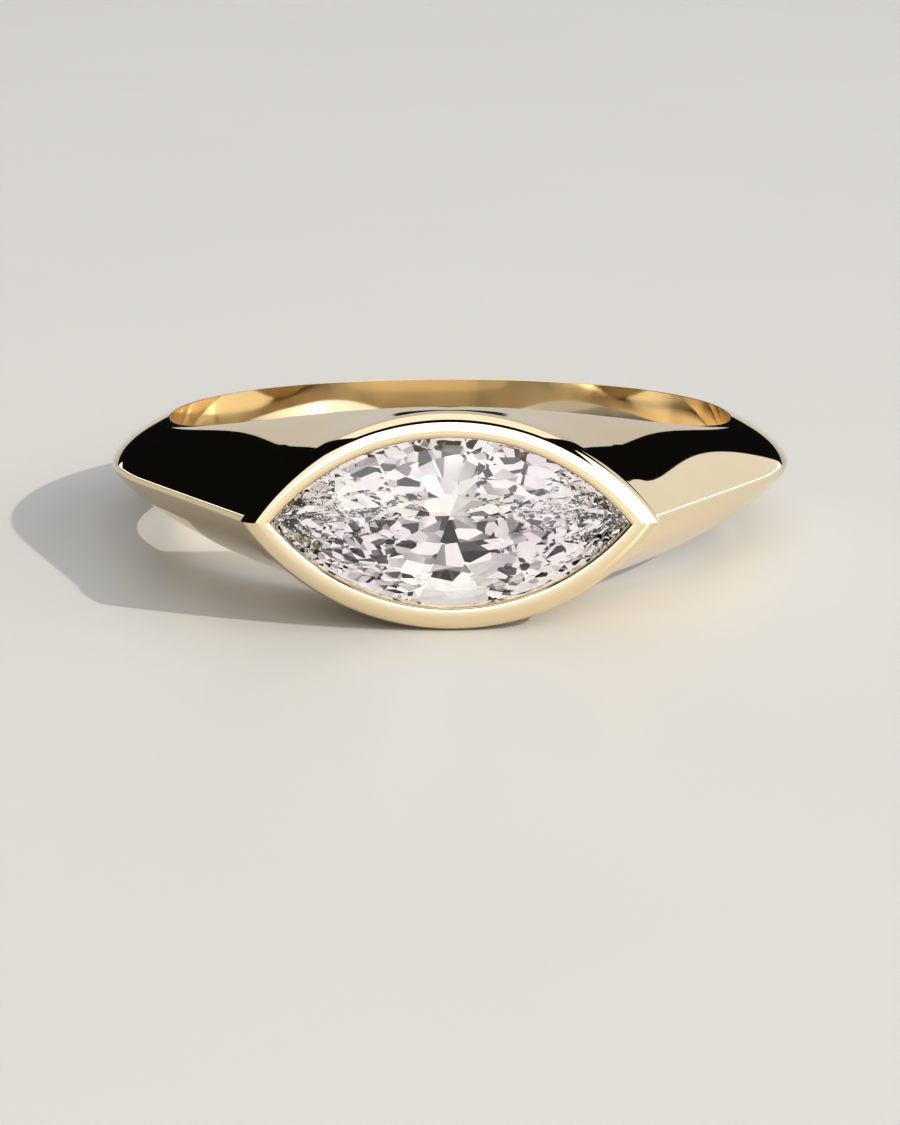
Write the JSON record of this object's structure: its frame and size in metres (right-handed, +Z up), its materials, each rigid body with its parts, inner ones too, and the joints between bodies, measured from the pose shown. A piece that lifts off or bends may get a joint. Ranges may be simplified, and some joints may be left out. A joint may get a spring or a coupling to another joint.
{
  "type": "marquise ring",
  "caption": "Polished gold ring with a knife-edge band that swells into a marquise bezel set lengthwise along the band, holding a clear faceted marquise stone.",
  "frame": {"origin": "centre of the ring's outline seen from above, at floor height", "axes": "+Z up as the ring lies on its side, near the finger hole's axis; the setting looks towards -Y; X along the stone"},
  "size_m": [0.0206, 0.0226, 0.006],
  "materials": {
    "gold": "high polish yellow gold",
    "diamond": "clear, faceted"
  },
  "bodies": {
    "root": {"gold_ring": "gold", "marquise_stone": "diamond"}
  },
  "joints": []
}
